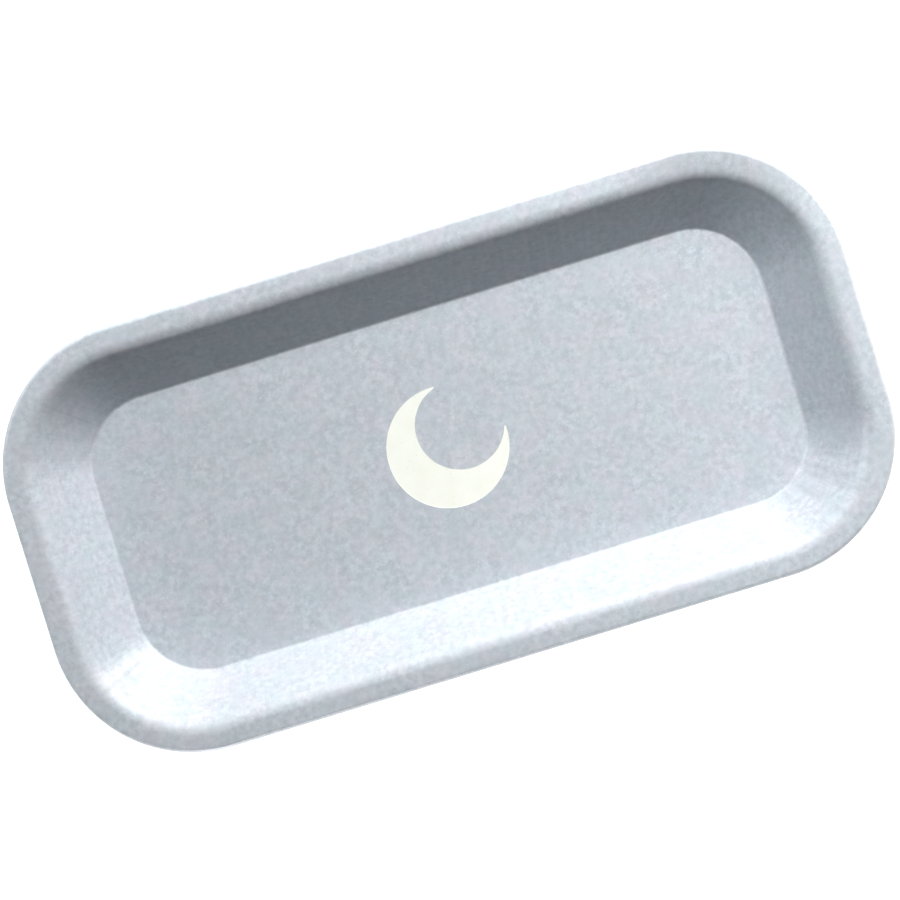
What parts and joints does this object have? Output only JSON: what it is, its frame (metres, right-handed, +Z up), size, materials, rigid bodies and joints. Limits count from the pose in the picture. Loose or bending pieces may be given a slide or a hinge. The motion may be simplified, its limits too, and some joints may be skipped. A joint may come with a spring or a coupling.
{
  "type": "pill counting tray",
  "caption": "Shallow oblong pressed metal tray with sloping walls, a flat flange, a rolled edge and a printed crescent, for counting and sorting tablets.",
  "frame": {"origin": "on the table under the centre of the tray: middle of the outline in plan, underside of the floor at z = 0", "axes": "+X along the long side of the tray, +Y across it, +Z up out of the open side"},
  "size_m": [0.2, 0.1006, 0.0185],
  "materials": {
    "lacquered_tin": "satin silver-blue lacquer with fine metallic flecks on pressed tinned steel",
    "cream_enamel": "screen-printed cream enamel, smooth, slightly proud of the lacquer"
  },
  "bodies": {
    "root": {"tray_pan": "lacquered_tin", "crescent_print": "cream_enamel"}
  },
  "joints": []
}
